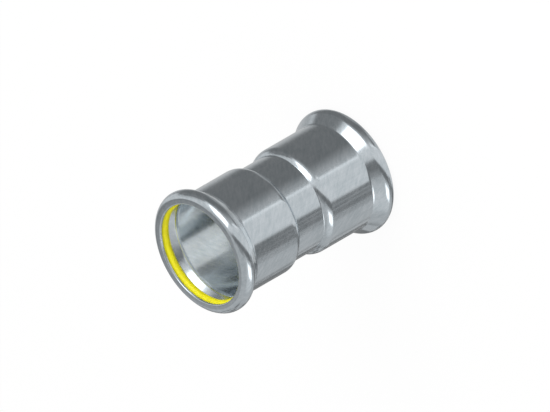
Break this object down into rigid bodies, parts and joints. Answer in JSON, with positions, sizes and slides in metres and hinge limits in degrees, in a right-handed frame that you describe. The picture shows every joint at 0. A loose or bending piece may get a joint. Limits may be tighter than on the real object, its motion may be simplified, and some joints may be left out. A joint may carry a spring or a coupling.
{
  "type": "press fit coupling",
  "caption": "Straight press fit coupling of stainless steel: formed tube body with a pipe socket and a beaded mouth at each end, and a yellow sealing ring in each bead",
  "frame": {"origin": "middle of the lower end face, on the coupling's axis", "axes": "+Z along the axis from the lower end face to the upper one; +X and +Y are any two perpendicular radii, because the part is round"},
  "size_m": [0.0442, 0.0442, 0.07],
  "materials": {
    "stainless_steel": "cold formed stainless tube, satin bright with fine drawn lines",
    "yellow_seal": "smooth yellow rubber"
  },
  "bodies": {
    "root": {"body": "stainless_steel", "lower_seal_ring": "yellow_seal", "upper_seal_ring": "yellow_seal"}
  },
  "joints": []
}
